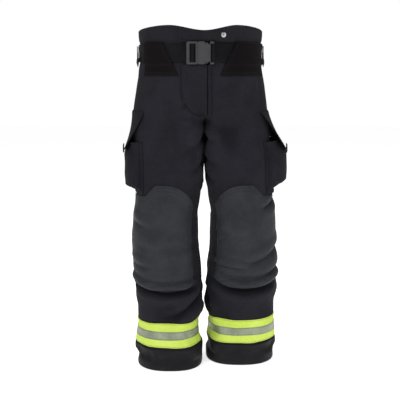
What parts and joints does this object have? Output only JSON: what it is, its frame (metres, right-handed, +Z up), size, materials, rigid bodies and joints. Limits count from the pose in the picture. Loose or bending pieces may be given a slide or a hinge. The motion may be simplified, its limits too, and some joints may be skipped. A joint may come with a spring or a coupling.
{
  "type": "bunker pants",
  "caption": "Firefighter's bunker pants: padded trousers with a buckled belt, zipped fly, cargo pockets, knee patches and reflective leg bands.",
  "frame": {"origin": "on the floor under the middle of the whole, with both hems on z = 0", "axes": "+Z up from the hems to the waistband, -Y out of the front of the trousers, +X towards the wearer's left leg"},
  "size_m": [0.5068, 0.2825, 1.033],
  "materials": {
    "shell": "matt black aramid ripstop weave",
    "tunnel": "matt brownish black twill",
    "leather": "matt charcoal coated leather-like reinforcement",
    "barrier": "smooth pale film laminate",
    "quilt": "quilted gold-brown face cloth",
    "webbing": "black polyester webbing with a ribbed weave",
    "plastic": "dark grey moulded plastic, fine grain",
    "brass": "dull brass",
    "steel": "nickel-plated, worn",
    "lime": "fluorescent lime woven trim",
    "silver": "silver glass-bead reflective tape",
    "foam": "closed-cell foam padding"
  },
  "bodies": {
    "pants": {"front_panel_right": "shell", "front_panel_left": "shell", "back_panel_right": "shell", "back_panel_left": "shell", "waistband_right": "shell", "waistband_left": "shell", "waistband_facing_right": "shell", "waistband_facing_left": "shell", "fly_seam_binding": "shell", "belt_loop_right": "shell", "belt_loop_back": "shell", "belt_loop_left": "shell", "pocket_right": "shell", "pocket_left": "shell", "belt_tunnel_right": "tunnel", "belt_tunnel_left": "tunnel", "knee_patch_right": "leather", "knee_patch_left": "leather", "cuff_right": "leather", "cuff_left": "leather", "moisture_barrier_right": "barrier", "moisture_barrier_left": "barrier", "thermal_liner_right": "quilt", "thermal_liner_left": "quilt", "belt_webbing": "webbing", "belt_wrap_socket": "webbing", "side_strap_right": "webbing", "side_strap_left": "webbing", "fly_loop_strip": "webbing", "zipper_tape_right": "webbing", "zipper_tape_left": "webbing", "buckle_socket": "plastic", "zipper_chain": "brass", "zipper_stop": "brass", "waist_snap_cap": "steel", "trim_band_right": "lime", "trim_band_left": "lime", "trim_silver_right": "silver", "trim_silver_left": "silver", "knee_pad_right": "foam", "knee_pad_left": "foam"},
    "buckle_clip": {"buckle_clip": "plastic", "belt_wrap_clip": "webbing"},
    "prong_upper": {"buckle_prong_upper": "plastic"},
    "prong_lower": {"buckle_prong_lower": "plastic"},
    "fly_flap": {"fly_flap": "shell", "fly_hook_strip": "webbing"},
    "zipper_slider": {"zipper_slider": "brass"},
    "zipper_pull": {"zipper_pull": "brass"},
    "pocket_flap_right": {"pocket_flap_right": "shell", "pull_tab_right": "webbing"},
    "pocket_flap_left": {"pocket_flap_left": "shell", "pull_tab_left": "webbing"},
    "side_buckle_right": {"side_buckle_right": "steel"},
    "side_buckle_left": {"side_buckle_left": "steel"}
  },
  "joints": [
    {"name": "buckle_clip_slide", "type": "slide", "parent": "pants", "child": "buckle_clip", "axis": [-1, 0, 0], "range_m": [0, 0.045]},
    {"name": "prong_upper_squeeze", "type": "hinge", "parent": "buckle_clip", "child": "prong_upper", "pos_m": [-0.0225, -0.1355, 0.9755], "axis": [0, 1, 0], "range_deg": [0, 6], "stiffness_Nm_per_rad": 0.2},
    {"name": "prong_lower_squeeze", "type": "hinge", "parent": "buckle_clip", "child": "prong_lower", "pos_m": [-0.0225, -0.1355, 0.9385], "axis": [0, -1, 0], "range_deg": [0, 6], "stiffness_Nm_per_rad": 0.2},
    {"name": "fly_flap_hinge", "type": "hinge", "parent": "pants", "child": "fly_flap", "pos_m": [0.006, -0.133, 0.8535], "axis": [0, 0, 1], "range_deg": [0, 120]},
    {"name": "zipper_slide", "type": "slide", "parent": "pants", "child": "zipper_slider", "axis": [0, 0, -1], "range_m": [0, 0.112]},
    {"name": "zipper_pull_swing", "type": "hinge", "parent": "zipper_slider", "child": "zipper_pull", "pos_m": [-0.004, -0.1293, 0.922], "axis": [0, 1, 0], "range_deg": [-10, 20]},
    {"name": "pocket_flap_right_hinge", "type": "hinge", "parent": "pants", "child": "pocket_flap_right", "pos_m": [-0.2252, 0, 0.7883], "axis": [0, 1, 0], "range_deg": [0, 130]},
    {"name": "pocket_flap_left_hinge", "type": "hinge", "parent": "pants", "child": "pocket_flap_left", "pos_m": [0.1932, 0, 0.7883], "axis": [0, -1, 0], "range_deg": [0, 130]},
    {"name": "side_buckle_right_swing", "type": "hinge", "parent": "pants", "child": "side_buckle_right", "pos_m": [-0.2013, 0, 0.957], "axis": [0, 0, -1], "range_deg": [0, 40]},
    {"name": "side_buckle_left_swing", "type": "hinge", "parent": "pants", "child": "side_buckle_left", "pos_m": [0.1693, 0, 0.957], "axis": [0, 0, 1], "range_deg": [0, 40]}
  ]
}
